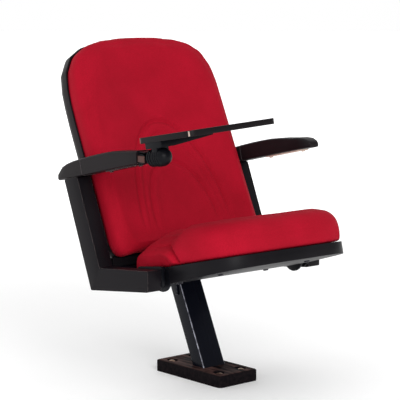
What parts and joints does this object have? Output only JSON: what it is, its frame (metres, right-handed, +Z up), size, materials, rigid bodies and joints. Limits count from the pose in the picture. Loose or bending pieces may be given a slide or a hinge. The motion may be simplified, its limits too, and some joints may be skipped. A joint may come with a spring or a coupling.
{
  "type": "tip up auditorium seat",
  "caption": "Upholstered auditorium seat on a leaning floor leg, with a tip-up seat, L-shaped arm supports, armrests and a folding writing tablet on the sitter's right.",
  "frame": {"origin": "Centre of the base's underside, on the floor, midway between the floor bolts.", "axes": "+Z is up, the sitter faces -Y, and the writing tablet is at -X, on the sitter's right."},
  "size_m": [0.605, 0.6861, 0.8932],
  "materials": {
    "base_iron": "black paint with a brownish sheen",
    "frame_steel": "black powder coat",
    "support_plastic": "moulded, fine grain",
    "hinge_plastic": "moulded, fine grain",
    "pin_steel": "turned and zinc plated",
    "armrest_plastic": "moulded, satin",
    "strip_steel": "semi-gloss black paint",
    "shell_plastic": "moulded, fine grain",
    "plywood": "raw plywood",
    "red_fabric": "woven upholstery",
    "housing_plastic": "moulded, satin",
    "knuckle_plastic": "moulded, satin",
    "tablet_plastic": "textured board with a satin edge"
  },
  "bodies": {
    "frame": {"base_foot": "base_iron", "leg_post": "frame_steel", "leg_saddle": "frame_steel", "cross_beam": "frame_steel", "left_beam_flange": "frame_steel", "right_beam_flange": "frame_steel", "left_arm_support": "support_plastic", "right_arm_support": "support_plastic", "left_pivot_housing": "hinge_plastic", "right_pivot_housing": "hinge_plastic", "left_pivot_pin": "pin_steel", "right_pivot_pin": "pin_steel", "left_stop_pin": "pin_steel", "right_stop_pin": "pin_steel", "left_armrest": "armrest_plastic", "right_armrest": "armrest_plastic", "left_arm_strip": "strip_steel", "right_arm_strip": "strip_steel", "left_back_strap": "frame_steel", "right_back_strap": "frame_steel", "back_apron": "shell_plastic", "back_shell": "shell_plastic", "back_board": "plywood", "back_cushion": "red_fabric", "tablet_housing": "housing_plastic", "swing_pin": "pin_steel"},
    "seat": {"seat_pan": "shell_plastic", "seat_board": "plywood", "seat_cushion": "red_fabric", "left_hinge_plate": "strip_steel", "right_hinge_plate": "strip_steel"},
    "tablet_knuckle": {"knuckle_tongue": "knuckle_plastic", "knuckle_journal": "pin_steel", "knuckle_nose": "knuckle_plastic"},
    "tablet": {"tablet_bracket": "knuckle_plastic", "tablet_board": "tablet_plastic"}
  },
  "joints": [
    {"name": "seat_tip", "type": "hinge", "parent": "frame", "child": "seat", "pos_m": [0, -0.095, 0.303], "axis": [-1, 0, 0], "range_deg": [0, 75]},
    {"name": "tablet_swing", "type": "hinge", "parent": "frame", "child": "tablet_knuckle", "pos_m": [-0.2775, -0.1, 0.606], "axis": [1, 0, 0], "range_deg": [0, 90]},
    {"name": "tablet_flip", "type": "hinge", "parent": "tablet_knuckle", "child": "tablet", "pos_m": [-0.2775, -0.1, 0.606], "axis": [0, -0.9871, 0.1599], "range_deg": [0, 90]}
  ],
  "couplings": [
    {"joint": "tablet_flip", "follows": "tablet_swing", "ratio": 1}
  ]
}
